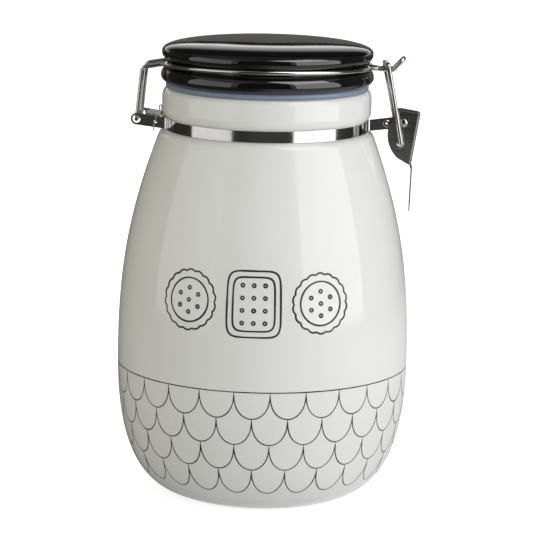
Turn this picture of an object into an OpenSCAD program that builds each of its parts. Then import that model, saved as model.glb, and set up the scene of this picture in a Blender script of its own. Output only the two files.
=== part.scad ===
// Clip-top biscuit jar: a glazed ceramic jar with a ceramic lid on a wire bail, closed by a latch
// wire and an over-centre lever. A two-part steel strap round the neck carries the hinge and the
// lever. The origin is on the jar's axis in the plane of the base, +Z is up, the hinge is at -X,
// the latch at +X and the jar's front faces -Y. All sizes are in millimetres.

/* [Jar] */
// Outer radius of the belly at its widest
belly_r = 80; // [66:0.5:96]
// Height of the widest part above the base
belly_z = 76; // [60:1:95]
// Radius of the flat base
base_r = 47.5; // [36:0.5:56]
// Radius of the round edge of the base
base_round = 6; // [3:0.5:8]
// Slope of the wall where it leaves the round edge, in degrees
base_slope = 15; // [8:1:25]
// Thickness of the jar's wall
jar_wall = 4.5; // [4:0.5:6.5]
// Thickness of the jar's floor
floor_t = 7; // [5:0.5:9]
// Slope of the shoulder from the vertical, in degrees
shoulder_slope = 20; // [15:1:25]
// Radius of the shoulder's round top edge
shoulder_round = 5; // [3:0.5:6.5]

/* [Neck] */
// Outer radius of the neck under the strap
neck_r = 54.2; // [45:0.1:65]
// Thickness of the neck's wall under the strap
neck_wall = 5.7; // [4.5:0.1:7]
// How far the lip stands out from the neck
lip_out = 2.8; // [2:0.1:3.5]
// Height of the rim above the middle of the strap
rim_rise = 19.4; // [15:0.2:24]
// Height of the middle of the strap above the base
strap_z = 204; // [168:1:245]

/* [Lid] */
// How far the lid's two rolls stand out past the lip
lid_out = 0.9; // [0.4:0.1:2]
// Height of the lower roll's widest line above the lid's underside
low_roll_z = 3.6; // [3:0.1:5]
// Height between the widest lines of the two rolls
roll_pitch = 12.3; // [11:0.1:13.5]
// Radius of the lower roll towards the groove
low_roll_round = 5.2; // [4.4:0.1:5.6]
// How much less the upper roll stands out than the lower one
high_roll_in = 0.5; // [0:0.1:1.5]
// Radius of the upper roll towards the groove
high_roll_round = 4; // [3.4:0.1:4.8]
// Radius of the groove between the rolls
groove_round = 3.2; // [3:0.05:3.6]
// Height of the dome above the upper roll's widest line
dome_h = 6.9; // [6:0.1:10]
// Power of the dome's curve: 2 is an ellipse, more is flatter on top
dome_power = 3; // [2.6:0.1:4.2]
// Depth of the plug below the rim
plug_depth = 4; // [3:0.2:5]
// Radial gap between the plug and the jar's mouth
plug_gap = 4.3; // [3.8:0.1:5.5]
// Thickness of the plug's wall round the hollow under the lid
plug_wall = 5.7; // [4:0.1:14]
// Height of the hollow above the lid's underside
hollow_h = 16; // [12:0.5:17]

/* [Gasket] */
// Thickness of the gasket between the rim and the lid
gasket_t = 3.2; // [2.4:0.1:4]
// How far the gasket's edge lies inside the lip
gasket_in = 1.8; // [0.8:0.1:2.2]

/* [Wires] */
// Diameter of the bail's and the latch wire
wire_d = 2.4; // [2:0.1:2.5]
// Height by which the bail bows up at the front and back of the lid
bail_bow = 2.4; // [0:0.1:2.4]
// Distance between the middles of the bail's two legs
leg_pitch = 20.6; // [16:0.2:26]
// Width of the nose between the middles of its two wires
nose_w = 6; // [5:0.2:8]
// Length of the nose beyond the lid, up to its tip
nose_reach = 17; // [14:0.5:20]
// Height of the nose's tip above its valley
nose_lift = 6; // [5:0.2:8]
// Diameter of the holes that the wires' ends turn in
wire_hole_d = 4.3; // [4:0.1:4.6]

/* [Strap] */
// Height of the strap
strap_h = 6; // [5:0.2:7]
// Thickness of the strap's steel
strap_t = 0.6; // [0.4:0.05:1]
// Slope at which the lugs rise away from the neck, in degrees
lug_rise = 7.5; // [4:0.5:9]
// Distance of the hinge's axis from the neck
hinge_reach = 15.7; // [14:0.1:19]
// Distance of the eyelet's axis from the neck
eyelet_reach = 11.2; // [10:0.1:12]
// Distance of the lever pin's axis from the neck
pin_reach = 20.4; // [19.5:0.1:24]
// Distance of the split pin's axis from the neck
split_reach = 5.4; // [4.5:0.1:6.5]

/* [Lever] */
// Outer width of the lever over its cheeks
lever_w = 11.6; // [10.4:0.2:14]
// Thickness of the lever's steel
lever_t = 0.8; // [0.6:0.05:1]
// Diameter of the lever pin's shank
pin_d = 2.5; // [2:0.1:3]
// Length of the finger tab
tab_l = 24; // [18:0.5:30]
// Width of the finger tab
tab_w = 10.4; // [8:0.2:11]

/* [Hidden] */
$fn = 48;

// clearances
fit_gap = 0.05;      // between a pin and its bore
seat_gap = 0.1;      // between a strap and what it lies on
side_gap = 0.2;      // between a moving wire and the sheet beside it
part_gap = 0.3;      // between curved faces of two moving pieces
cross_gap = 0.8;     // between the latch wire's crossbar and the valley of the bail's nose

// colours
glaze_white = [0.90, 0.90, 0.87];
glaze_black = [0.04, 0.04, 0.04];
silicone_blue = [0.42, 0.48, 0.57];
steel_bright = [0.78, 0.78, 0.77];
steel_dark = [0.45, 0.45, 0.46];

// jar
lip_r = neck_r + lip_out;
mouth_r = neck_r - neck_wall;
rim_z = strap_z + rim_rise;
neck_low_z = strap_z - strap_h / 2 - part_gap;
neck_high_z = strap_z + strap_h / 2 + part_gap;
base_pull = 0.33 * belly_r;
belly_pull_low = 0.45 * belly_z;
belly_pull_high = 0.37 * (strap_z - belly_z);
shoulder_pull = 0.36 * (strap_z - belly_z);
shoulder_r = neck_r + shoulder_round * cos(shoulder_slope);
shoulder_z = neck_low_z - shoulder_round * (1 - sin(shoulder_slope));
lip_low_round = 5;   // height of the lip's round underside
lip_top_round = 4.5; // height of the lip's round top edge
lip_top_in = 0.2;    // how far the round top edge reaches in past the neck
mouth_round = 2;
inner_neck_z = strap_z - 2;
inner_neck_pull = 3; // length of the inner wall's bend into the neck

// lid
lid_z = rim_z + gasket_t;
lid_r = lip_r + lid_out;
low_z = lid_z + low_roll_z;
high_z = low_z + roll_pitch;
lid_top_z = high_z + dome_h;
plug_r = mouth_r - plug_gap;
plug_bead = 0.8;     // bead that keeps the gasket on the plug
bead_z = rim_z - 1.5 * plug_bead;
plug_low_z = rim_z - plug_depth;
plug_round = 1.6;    // radius of the plug's outer edge
plug_in_round = 1;   // radius of its inner edge
hollow_r = plug_r - plug_wall;
hollow_top_z = lid_z + hollow_h;
hollow_round = 10;   // radius of the hollow's corner
hollow_crown = 0.6;  // height by which the hollow's roof rises to its middle
high_r = lid_r - high_roll_in;
gasket_r = lip_r - gasket_in;
low_c = [lid_r - low_roll_round, low_z];
high_c = [high_r - high_roll_round, high_z];
groove_c = tangent_centre(low_c, low_roll_round + groove_round, high_c, high_roll_round + groove_round);

// bail: its ring lies in the lid's groove and bows up at the front and back
wire_r = wire_d / 2;
knuckle_k = 1.05;    // width of the balls in the wires' bends, over the wire's own
ring_reach = groove_round - wire_r * knuckle_k - fit_gap;
ring_r = groove_c[0] - sqrt(pow(ring_reach, 2) - pow(bail_bow / 2, 2));
ring_z = groove_c[1] - bail_bow / 2;
bow_angle = asin(bail_bow / ring_r);
bail_bend = 2.4;     // radius of the bail's tight bends, on its middle line
nose_bend = nose_w / 2 - 0.3;
nose_start = 5.2;    // distance of the nose's start from the middle plane
leg_y = leg_pitch / 2;
leg_bends = [1.9, 3, 1.9];                   // at the ring, the elbow and the hinge
elbow = [2.8, -1.6];                         // of the leg, from the hinge's x and the ring's height
leg_end = 0.9;                               // how far its end stands out of the lug

// hinge and latch axes, on lugs that rise away from the neck
hinge_x = -(neck_r + hinge_reach);
hinge_z = lug_z(hinge_reach);
eyelet_x = neck_r + eyelet_reach;
eyelet_z = lug_z(eyelet_reach);
pin_x = neck_r + pin_reach;
pin_z = lug_z(pin_reach);
split_x = -(neck_r + split_reach);
split_z = lug_z(split_reach);
hinge_lug_y = leg_y + wire_r + side_gap + strap_t / 2;

// lever, in its own frame: the lever pin's axis is at [0, 0]
cheek_r = 17.9;                              // radius of the cheeks' round front
cheek_c = [9.4, -6.2];                       // its centre
cheek_top = 132.5;                           // angle at which the round front starts
cheek_low = 226;                             // angle at which it ends
web_top = [9.0, 4.4];                        // top of the web's outer face
web_low = [4.6, -23.4];                      // bottom of the web's outer face
web_tilt = atan2(web_top[0] - web_low[0], web_top[1] - web_low[1]);
tab_tilt = 1.8;
hook = [-1.45, -12.3];                       // axis of the holes that hold the latch wire
lever_bend = 1.5;                            // outer radius of the bends between web and cheeks
cheek_in = lever_w / 2 - lever_t;            // inner face of a cheek
head_h = 0.6;
head_r = 2.2;

// latch wire
hook_x = pin_x + hook[0];
hook_z = pin_z + hook[1];
latch_y = lever_w / 2 + head_h + part_gap + wire_r;
latch_bend = 2.2;
latch_askew = 2.6;                           // how much further in the rear end of the crossbar lies
end_askew = 0.8;                             // play of each end in its hole, taken to one side
cross_x = lid_r + 6.5;
nose_x = lid_r + nose_reach;
valley_x = cross_x + 3.9;
valley_z = ring_z - 0.4;
cross_z = valley_z + wire_d + cross_gap;

// strap
strap_mid_r = neck_r + seat_gap + strap_t / 2;
lug_bend = 2.2;
lug_h = strap_h + 0.4;
fork_y = cheek_in - seat_gap - strap_t / 2;  // middle of a fork lug, inside the lever's cheek
pair_y = strap_t / 2 + fit_gap / 2;          // middle of a lug where the two lie together
fork_start = eyelet_x + 3.2;
eyelet_r = 1;
split_hole_r = 0.85;

// Height of the lugs' middle line at a distance from the neck
function lug_z(reach) = strap_z + reach * tan(lug_rise);

// Points of a round or elliptic arc between two angles
function arc(c, rx, rz, a0, a1, n) =
    [for (i = [0:n]) let (a = a0 + (a1 - a0) * i / n) [c[0] + rx * cos(a), c[1] + rz * sin(a)]];

// Points of a cubic curve, without its first point
function curve(p, q, r, s, n) =
    [
        for (i = [1:n])
            let (t = i / n, u = 1 - t)
            u * u * u * p + 3 * u * u * t * q + 3 * u * t * t * r + t * t * t * s
    ];

// Centre of a circle whose centre is da from a and db from b, on the far side from the axis
function tangent_centre(a, da, b, db) =
    let (d = norm(b - a), u = (b - a) / d, s = (da * da - db * db + d * d) / (2 * d))
    a + u * s + [u[1], -u[0]] * sqrt(da * da - s * s);

function unit(v) = v / norm(v);
function angle_of(v) = atan2(v[1], v[0]);
function tail(p) = [for (i = [1:len(p) - 1]) p[i]];

// The wall's two curves: inset 0 is the outside
function belly_curve(inset) =
    let (
        start = inset == 0
            ? arc([base_r, base_round], base_round, base_round, -90, base_slope - 90, 8)
            : [[base_r - inset, floor_t]],
        first = start[len(start) - 1],
        belly = [belly_r - inset, belly_z],
        top = [shoulder_r, shoulder_z] - inset * [cos(shoulder_slope), sin(shoulder_slope)],
        away = inset == 0 ? base_slope : 0
    )
    concat(
        start,
        curve(first, first + base_pull * [cos(away), sin(away)], belly - [0, belly_pull_low], belly, 24),
        curve(
            belly, belly + [0, belly_pull_high],
            top + shoulder_pull * [sin(shoulder_slope), -cos(shoulder_slope)], top, 30
        )
    );

function reversed(p) = [for (i = [len(p) - 1:-1:0]) p[i]];

jar_outline = concat(
    [[0, 0]],
    belly_curve(0),
    arc([neck_r, neck_low_z - shoulder_round], shoulder_round, shoulder_round, shoulder_slope, 90, 10),
    arc([neck_r, neck_high_z + lip_low_round], lip_out, lip_low_round, -90, 0, 10),
    arc([neck_r - lip_top_in, rim_z - lip_top_round], lip_out + lip_top_in, lip_top_round, 0, 90, 10),
    arc([mouth_r + mouth_round, rim_z - mouth_round], mouth_round, mouth_round, 90, 180, 6),
    reversed(concat(
        belly_curve(jar_wall),
        curve(
            [shoulder_r, shoulder_z] - jar_wall * [cos(shoulder_slope), sin(shoulder_slope)],
            [shoulder_r, shoulder_z] - jar_wall * [cos(shoulder_slope), sin(shoulder_slope)]
                + inner_neck_pull * [-sin(shoulder_slope), cos(shoulder_slope)],
            [mouth_r, inner_neck_z - inner_neck_pull], [mouth_r, inner_neck_z], 8
        )
    )),
    [[0, floor_t]]
);

dome = [
    for (i = [0:30])
        let (a = 90 * i / 30)
        [high_r * pow(cos(a), 2 / dome_power), high_z + dome_h * pow(sin(a), 2 / dome_power)]
];

lid_outline = concat(
    [[0, hollow_top_z], [hollow_r - hollow_round, hollow_top_z - hollow_crown]],
    arc(
        [hollow_r - hollow_round, hollow_top_z - hollow_crown - hollow_round],
        hollow_round, hollow_round, 80, 0, 8
    ),
    arc([hollow_r + plug_in_round, plug_low_z + plug_in_round], plug_in_round, plug_in_round, 180, 270, 4),
    arc([plug_r - plug_round, plug_low_z + plug_round], plug_round, plug_round, -90, 0, 6),
    arc([plug_r, bead_z], plug_bead, plug_bead, -90, 90, 8),
    [[plug_r, lid_z]],
    arc([lid_r - low_roll_z, low_z], low_roll_z, low_roll_z, -90, 0, 10),
    arc(low_c, low_roll_round, low_roll_round, 0, angle_of(groove_c - low_c), 10),
    arc(
        groove_c, groove_round, groove_round,
        180 + angle_of(groove_c - low_c), 180 + angle_of(groove_c - high_c), 12
    ),
    arc(high_c, high_roll_round, high_roll_round, angle_of(groove_c - high_c), 0, 8),
    dome
);

// Middle line of a bent wire: its two ends, and points along the round bends at its inner corners
function bent(path, bends, d) = [
    path[0],
    for (i = [1:len(path) - 2])
        let (
            u = unit(path[i] - path[i - 1]),
            v = unit(path[i + 1] - path[i]),
            turn = acos(u * v),
            inward = unit(v - u * cos(turn)),
            r = bends[i - 1],
            centre = path[i] - u * r * tan(turn / 2) + inward * r,
            steps = max(1, min(ceil(turn / 22.5), floor(r * turn * PI / 180 / (0.3 * d))))
        )
        for (k = [0:steps])
            centre + r * (u * sin(turn * k / steps) - inward * cos(turn * k / steps)),
    path[len(path) - 1]
];

// Places its children at p, with their Z axis along v
module along(p, v) {
    translate(p)
        rotate([0, acos(v[2] / norm(v)), atan2(v[1], v[0])])
            children();
}

// A ball at a point of a wire's bend, a hair wider than the wire, with its poles along the wire. Its
// seam is turned off the rods' seams, and spin turns it off the next ball's.
module knuckle(p, v, d, spin = 0) {
    along(p, v)
        rotate([0, 0, 35 + spin])
            sphere(d = d * knuckle_k);
}

// A wire along its middle line: rods between the points, which stop inside the balls at the points.
// Where two balls are close together, they meet without a rod.
module wire(points, d) {
    last = len(points) - 1;
    cut = d * 0.104;
    ways = [for (i = [0:last - 1]) unit(points[i + 1] - points[i])];
    for (i = [0:last - 1]) {
        rod_l = norm(points[i + 1] - points[i]);
        start = i == 0 ? 0 : cut;
        end = i == last - 1 ? 0 : cut;
        if (rod_l > 3 * cut)
            along(points[i] + ways[i] * start, ways[i])
                cylinder(h = rod_l - start - end, d = d);
    }
    for (i = [1:last - 1])
        knuckle(points[i], ways[i - 1] + ways[i], d, 50 * (i % 2));
}

// Extrudes an outline that is drawn in X and Z, along Y about its middle
module side_extrude(width) {
    rotate([90, 0, 0])
        linear_extrude(height = width, center = true)
            children();
}

// A round bar along Y
module y_bar(x, z, y0, y1, r) {
    translate([x, y0, z])
        rotate([-90, 0, 0])
            cylinder(h = y1 - y0, r = r);
}

module jar_body() {
    color(glaze_white)
        rotate_extrude($fn = 180)
            polygon(jar_outline);
}

module lid() {
    color(glaze_black)
        rotate_extrude($fn = 180)
            polygon(lid_outline);
}

module gasket() {
    edge = gasket_t / 2 - 0.3; // depth of the rounded edge
    color(silicone_blue)
        rotate_extrude($fn = 180)
            polygon(concat(
                [[plug_r + fit_gap, rim_z], [gasket_r - edge, rim_z]],
                arc([gasket_r - edge, rim_z + gasket_t / 2], edge, gasket_t / 2, -80, 80, 10),
                [[gasket_r - edge, lid_z], [plug_r + fit_gap, lid_z]]
            ));
}

// Point and direction of the bail's ring; the front half has negative y
function ring_point(a, side) =
    let (y = ring_r * sin(a) * side)
    [ring_r * cos(a), y * cos(bow_angle), ring_z + abs(y) * sin(bow_angle)];
function ring_way(a, side) =
    [-sin(a), side * cos(a) * cos(bow_angle), cos(a) * sin(bow_angle)];

leg_turn = bail_bend * 0.8;
leg_angle = 180 - asin((leg_y + leg_turn) / ring_r);
nose_turn = bail_bend * 0.5;
nose_angle = asin(nose_start / ring_r);
ring_cut = 0.1;      // angle by which the ring's arcs stop inside their end balls

// One half of the bail: its hinge end, leg, elbow and half the ring
module bail_half(side) {
    ring_end = ring_point(leg_angle, side);
    ring_corner = ring_end + ring_way(leg_angle, side) * leg_turn;
    leg_top = [hinge_x + elbow[0], side * leg_y, ring_z + elbow[1]];
    foot = [hinge_x, side * leg_y, hinge_z];
    tip = [hinge_x, side * (hinge_lug_y + strap_t / 2 + leg_end), hinge_z];
    wire(bent([ring_end, ring_corner, leg_top, foot, tip], leg_bends, wire_d), wire_d);
    knuckle(ring_end, ring_way(leg_angle, side), wire_d);
    knuckle(ring_point(nose_angle, side), ring_way(nose_angle, side), wire_d);
    translate([0, 0, ring_z])
        rotate([side * bow_angle, 0, 0])
            rotate([0, 0, side > 0 ? nose_angle + ring_cut : ring_cut - leg_angle])
                rotate_extrude(angle = leg_angle - nose_angle - 2 * ring_cut)
                    translate([ring_r, 0])
                        circle(d = wire_d);
}

// Points of one side of the nose, from the ring to the tip
function nose_points(side) =
    let (start = ring_point(nose_angle, side))
    [
        start,
        start - ring_way(nose_angle, side) * nose_turn,
        [lid_r + 2, side * (wire_r + 0.15), ring_z - 0.05],
        [cross_x - 2, side * nose_w / 2, valley_z + 0.1],
        [valley_x, side * nose_w / 2, valley_z],
        [nose_x - wire_r, side * nose_w / 2, valley_z + nose_lift]
    ];

module lid_bail() {
    bends = [1.4, 1.6, 3, 1.6, nose_bend];
    nose = bent(concat(nose_points(-1), reversed(nose_points(1))), concat(bends, reversed(bends)), wire_d);
    color(steel_bright) {
        for (side = [-1, 1])
            bail_half(side);
        wire(nose, wire_d);
    }
}

module latch_wire() {
    front = hook_x + end_askew;
    rear = hook_x - end_askew;
    inner = cheek_in - 0.7;
    color(steel_bright)
        wire(bent([
            [front, -inner, hook_z],
            [front, -latch_y, hook_z],
            [cross_x + latch_askew / 2, -latch_y, cross_z],
            [cross_x - latch_askew / 2, latch_y, cross_z],
            [rear, latch_y, hook_z],
            [rear, inner, hook_z]
        ], [1.5, latch_bend, latch_bend, 1.5], wire_d), wire_d);
}

// Outline of the lever's cheeks, which runs past the web on its outer side
function cheek_outline() = concat(
    arc(cheek_c, cheek_r, cheek_r, cheek_top, cheek_low, 24),
    [
        web_low, web_low + [2, -1.4],
        web_top + [3, -1], web_top + [1.2, -1],
        web_top + [0.1, 0.3], web_top + [-1.6, 1]
    ]
);

// Cross-section of the lever's channel: the web's outer face is at x = 0
module channel(half, r, back) {
    polygon(concat(
        [[-back, -half]],
        arc([-r, r - half], r, r, -90, 0, 8),
        arc([-r, half - r], r, r, 0, 90, 8),
        [[-back, half]]
    ));
}

module lever() {
    tab_top = web_low + [0.7, -1.8];
    tab_way = [-sin(tab_tilt), -cos(tab_tilt)];
    tab_end = tab_top + tab_l * tab_way;
    web_way = unit(web_top - web_low);
    lap = web_low + 5 * web_way;
    web_in = lever_t * [-cos(web_tilt), sin(web_tilt)];
    tab_in = lever_t * [-cos(tab_tilt), sin(tab_tilt)];
    // the channel and the tab's outline start larger than the lever, and are cut to shape
    deep = 25;
    tall = 42;
    below = 6;
    color(steel_dark)
        translate([pin_x, 0, pin_z])
            difference() {
                union() {
                    intersection() {
                        translate([web_low[0], 0, web_low[1]])
                            rotate([0, web_tilt, 0])
                                translate([0, 0, -below])
                                    linear_extrude(height = tall)
                                        difference() {
                                            channel(lever_w / 2, lever_bend, deep);
                                            translate([-lever_t, 0])
                                                channel(cheek_in, lever_bend - lever_t, deep);
                                        }
                        side_extrude(lever_w + 2)
                            polygon(cheek_outline());
                    }
                    // finger tab, lapped on the web and joggled outwards
                    intersection() {
                        side_extrude(tab_w)
                            polygon([lap, web_low, tab_top, tab_end, tab_end + tab_in,
                                tab_top + tab_in, web_low + web_in, lap + web_in]);
                        translate([0, 0, tab_end[1] + tab_w / 2])
                            rotate([0, 90, 0])
                                translate([0, 0, -deep])
                                    linear_extrude(height = 2 * deep)
                                        union() {
                                            circle(d = tab_w);
                                            translate([-tall, -tab_w / 2])
                                                square([tall, tab_w]);
                                        }
                    }
                }
                y_bar(0, 0, -lever_w, lever_w, pin_d / 2 + fit_gap);
                y_bar(hook[0], hook[1], -lever_w, lever_w, wire_hole_d / 2);
            }
}

// A low domed rivet head, from its flat face at the origin along +Z
module rivet_head(r, h) {
    dome_r = (r * r + h * h) / (2 * h);
    rim_a = asin(r / dome_r);
    rotate_extrude()
        polygon(concat([[0, 0]], arc([0, h - dome_r], dome_r, dome_r, 90 - rim_a, 90, 6)));
}

module lever_pin() {
    color(steel_bright)
        translate([pin_x, 0, pin_z]) {
            y_bar(0, 0, -lever_w / 2 - head_h / 2, lever_w / 2 + head_h / 2, pin_d / 2);
            for (s = [-1, 1])
                translate([0, s * (lever_w / 2 + fit_gap), 0])
                    rotate([-90 * s, 0, 0])
                        rivet_head(head_r, head_h);
        }
}

// Plan of one strap, as a middle line from its fork lug round the neck to its hinge lug, for the
// side with positive y
function strap_line() =
    let (
        spare = lug_h, // past each lug's hole, where the side view ends it
        near = pair_y + lug_bend,
        near_a = asin(near / (strap_mid_r + lug_bend)),
        near_x = (strap_mid_r + lug_bend) * cos(near_a),
        far_a = 180 - asin((hinge_lug_y + lug_bend) / (strap_mid_r + lug_bend)),
        far_c = (strap_mid_r + lug_bend) * [cos(far_a), sin(far_a)]
    )
    concat(
        [
            [pin_x + spare, fork_y], [fork_start + (fork_y - pair_y), fork_y],
            [fork_start, pair_y], [near_x, pair_y]
        ],
        tail(arc([near_x, near], lug_bend, lug_bend, -90, near_a - 180, 8)),
        tail(arc([0, 0], strap_mid_r, strap_mid_r, near_a, far_a, 60)),
        tail(arc(far_c, lug_bend, lug_bend, far_a - 180, -90, 8)),
        [[hinge_x - spare, hinge_lug_y]]
    );

// A strip of the strap's thickness along a middle line
function strip(line) =
    let (
        last = len(line) - 1,
        ways = [for (i = [0:last - 1]) unit(line[i + 1] - line[i])],
        offs = [
            for (i = [0:last])
                let (
                    a = ways[max(i - 1, 0)],
                    b = ways[min(i, last - 1)],
                    m = unit(a + b)
                )
                [-m[1], m[0]] * strap_t / 2 / (m * a)
        ]
    )
    concat(
        [for (i = [0:last]) line[i] + offs[i]],
        reversed([for (i = [0:last]) line[i] - offs[i]])
    );

// Upper (s = 1) or lower (s = -1) end point of a lug's straight edge, at the given distance
function lug_corner(way, reach, s) =
    [way * (neck_r + reach - s * lug_h / 2 * sin(lug_rise)), lug_z(reach) + s * lug_h / 2 * cos(lug_rise)];

// Side view of the strap: level round the neck, with lugs that rise and end round
module strap_side() {
    half = strap_h / 2;
    polygon([
        lug_corner(-1, hinge_reach, -1), [-neck_r, strap_z - half],
        [neck_r, strap_z - half], lug_corner(1, pin_reach, -1),
        lug_corner(1, pin_reach, 1), [neck_r, strap_z + half],
        [-neck_r, strap_z + half], lug_corner(-1, hinge_reach, 1)
    ]);
    translate([pin_x, pin_z])
        circle(d = lug_h);
    translate([hinge_x, hinge_z])
        circle(d = lug_h);
}

module strap(side) {
    reach_y = 4 * hinge_lug_y;
    color(steel_bright)
        difference() {
            intersection() {
                translate([0, 0, strap_z - 2 * strap_h])
                    linear_extrude(height = 5 * strap_h)
                        scale([1, side])
                            polygon(strip(strap_line()));
                side_extrude(4 * neck_r)
                    strap_side();
            }
            y_bar(pin_x, pin_z, -reach_y, reach_y, pin_d / 2 + fit_gap);
            y_bar(eyelet_x, eyelet_z, -reach_y, reach_y, eyelet_r + fit_gap);
            y_bar(hinge_x, hinge_z, -reach_y, reach_y, wire_hole_d / 2);
            y_bar(split_x, split_z, -reach_y, reach_y, split_hole_r);
        }
}

module strap_front() {
    strap(-1);
}

module strap_back() {
    strap(1);
}

// Tubular rivet that holds the two straps together next to the neck
module strap_eyelet() {
    grip = 2 * pair_y + strap_t + 2 * fit_gap;
    flange_r = 2.05;
    flange_t = 0.45;
    slit_w = 0.24;
    slit_start = 1.35;
    color(steel_bright)
        translate([eyelet_x, 0, eyelet_z])
            difference() {
                union() {
                    y_bar(0, 0, -grip / 2 - flange_t, grip / 2 + flange_t, eyelet_r);
                    for (s = [-1, 1])
                        translate([0, s * grip / 2, 0])
                            rotate([-90 * s, 0, 0])
                                cylinder(h = flange_t, r1 = flange_r, r2 = flange_r - 0.35);
                }
                y_bar(0, 0, -grip - flange_t, grip + flange_t, 0.6 * eyelet_r);
                // four splits in the rolled flange
                for (a = [45:90:315])
                    rotate([0, a, 0])
                        translate([slit_start, -grip - flange_t, -slit_w / 2])
                            cube([flange_r, grip / 2 + flange_t, slit_w]);
            }
}

// Hairpin through both hinge lugs: its closed end stands up behind the rear lug, and its legs are
// spread over the front one
module split_pin() {
    pin_wire = 0.64;
    apart = 0.36;
    out = hinge_lug_y + strap_t / 2 + 0.5;
    up = lug_h / 2 + 2.6;
    color(steel_bright)
        wire(bent([
            [split_x + apart + 0.4, -out - 0.2, split_z + up - 1],
            [split_x + apart, -out, split_z],
            [split_x + apart, out, split_z],
            [split_x + apart + 0.6, out + 0.1, split_z + up],
            [split_x - apart - 0.2, out + 0.1, split_z + up],
            [split_x - apart, out, split_z],
            [split_x - apart, -out, split_z],
            [split_x - apart - 0.9, -out - 0.1, split_z - up + 0.4]
        ], [0.45, 0.45, 0.6, 0.6, 0.45, 0.45], pin_wire), pin_wire);
}

jar_body();
lid();
gasket();
lid_bail();
latch_wire();
lever();
lever_pin();
strap_front();
strap_back();
strap_eyelet();
split_pin();
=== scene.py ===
# Looks of the clip-top biscuit jar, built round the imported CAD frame.
import math

import bmesh
import bpy
from mathutils import Matrix, Vector, noise


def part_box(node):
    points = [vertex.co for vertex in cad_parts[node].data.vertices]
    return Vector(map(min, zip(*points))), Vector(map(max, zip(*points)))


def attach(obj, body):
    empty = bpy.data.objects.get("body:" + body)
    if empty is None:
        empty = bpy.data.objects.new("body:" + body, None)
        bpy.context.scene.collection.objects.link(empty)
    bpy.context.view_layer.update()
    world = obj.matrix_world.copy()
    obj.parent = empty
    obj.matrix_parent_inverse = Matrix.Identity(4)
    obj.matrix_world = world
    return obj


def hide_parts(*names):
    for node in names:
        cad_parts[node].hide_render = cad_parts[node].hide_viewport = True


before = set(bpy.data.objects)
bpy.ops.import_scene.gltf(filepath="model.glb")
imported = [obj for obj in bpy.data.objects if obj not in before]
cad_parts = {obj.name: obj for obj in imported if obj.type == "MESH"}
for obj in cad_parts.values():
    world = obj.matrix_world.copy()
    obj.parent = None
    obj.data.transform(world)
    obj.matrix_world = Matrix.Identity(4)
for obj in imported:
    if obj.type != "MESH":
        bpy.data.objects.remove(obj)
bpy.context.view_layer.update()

MM = 0.001

# ---------------------------------------------------------------- sizes in millimetres
jar_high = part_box("jar_body")[1] / MM
lid_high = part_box("lid")[1] / MM
seal_low, seal_high = (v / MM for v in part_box("gasket"))

# clearances
FIT_GAP = 0.05             # between a pin and its bore
SIDE_GAP = 0.2             # between a moving wire and the sheet beside it
PART_GAP = 0.3             # between curved faces of two moving pieces
CROSS_GAP = 0.8            # between the latch wire's crossbar and the valley of the bail's nose
GLAZE_SINK = 0.06          # depth of the glaze in the CAD wall, so that the print stays in its box

# strap
RIM_RISE = 19.4            # height of the rim above the middle of the strap
RIM_Z = jar_high.z
STRAP_Z = RIM_Z - RIM_RISE
STRAP_H = 6.0
STRAP_T = 0.6
LUG_H = STRAP_H + 0.4
LUG_RISE = math.tan(math.radians(7.5))

# jar
BELLY_R = jar_high.x - GLAZE_SINK
BELLY_Z = 76.0
BASE_R = 47.5
BASE_ROUND = 6.0
BASE_SLOPE = 15.0          # of the wall where it leaves the round edge, in degrees
BASE_PULL = 0.33 * jar_high.x
WALL = 4.5
FLOOR_T = 7.0
SHOULDER_SLOPE = 20.0      # from the vertical, in degrees
SHOULDER_ROUND = 5.0
BELLY_PULL_LOW = 0.45 * BELLY_Z
BELLY_PULL_HIGH = 0.37 * (STRAP_Z - BELLY_Z)
SHOULDER_PULL = 0.36 * (STRAP_Z - BELLY_Z)
NECK_R = 54.2
NECK_WALL = 5.7
NECK_LOW_Z = STRAP_Z - STRAP_H / 2 - PART_GAP
NECK_HIGH_Z = STRAP_Z + STRAP_H / 2 + PART_GAP
LIP_OUT = 2.8
LIP_R = NECK_R + LIP_OUT
LIP_LOW_ROUND = 5          # height of the lip's round underside
LIP_TOP_ROUND = 4.5        # height of the lip's round top edge
LIP_TOP_IN = 0.2           # how far the round top edge reaches in past the neck
MOUTH_R = NECK_R - NECK_WALL
MOUTH_ROUND = 2
INNER_NECK_Z = STRAP_Z - 2
INNER_NECK_PULL = 3        # length of the inner wall's bend into the neck

# lid and gasket
LID_Z = seal_high.z
LID_R = LIP_R + 0.9
LOW_ROLL_Z = 3.6           # height of the lower roll's widest line above the lid's underside
ROLL_PITCH = 12.3
HIGH_R = LID_R - 0.5
LOW_ROUND = 5.2
HIGH_ROUND = 4.0
GROOVE_ROUND = 3.2
DOME_H = lid_high.z - LID_Z - LOW_ROLL_Z - ROLL_PITCH
DOME_POWER = 3.0           # of the dome's curve: 2 is an ellipse, more is flatter on top
PLUG_R = MOUTH_R - 4.3
PLUG_DEPTH = 4.0
PLUG_ROUND = 1.6
PLUG_IN_ROUND = 1          # radius of the plug's inner edge
PLUG_BEAD = 0.8            # bead that keeps the gasket on the plug
HOLLOW_R = 38.5
HOLLOW_H = 16.0
HOLLOW_ROUND = 10
HOLLOW_CROWN = 0.6         # height by which the hollow's roof rises to its middle
SEAL_T = seal_high.z - seal_low.z
SEAL_R = LIP_R - 1.8
SEAL_EDGE = SEAL_T / 2 - 0.3

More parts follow.
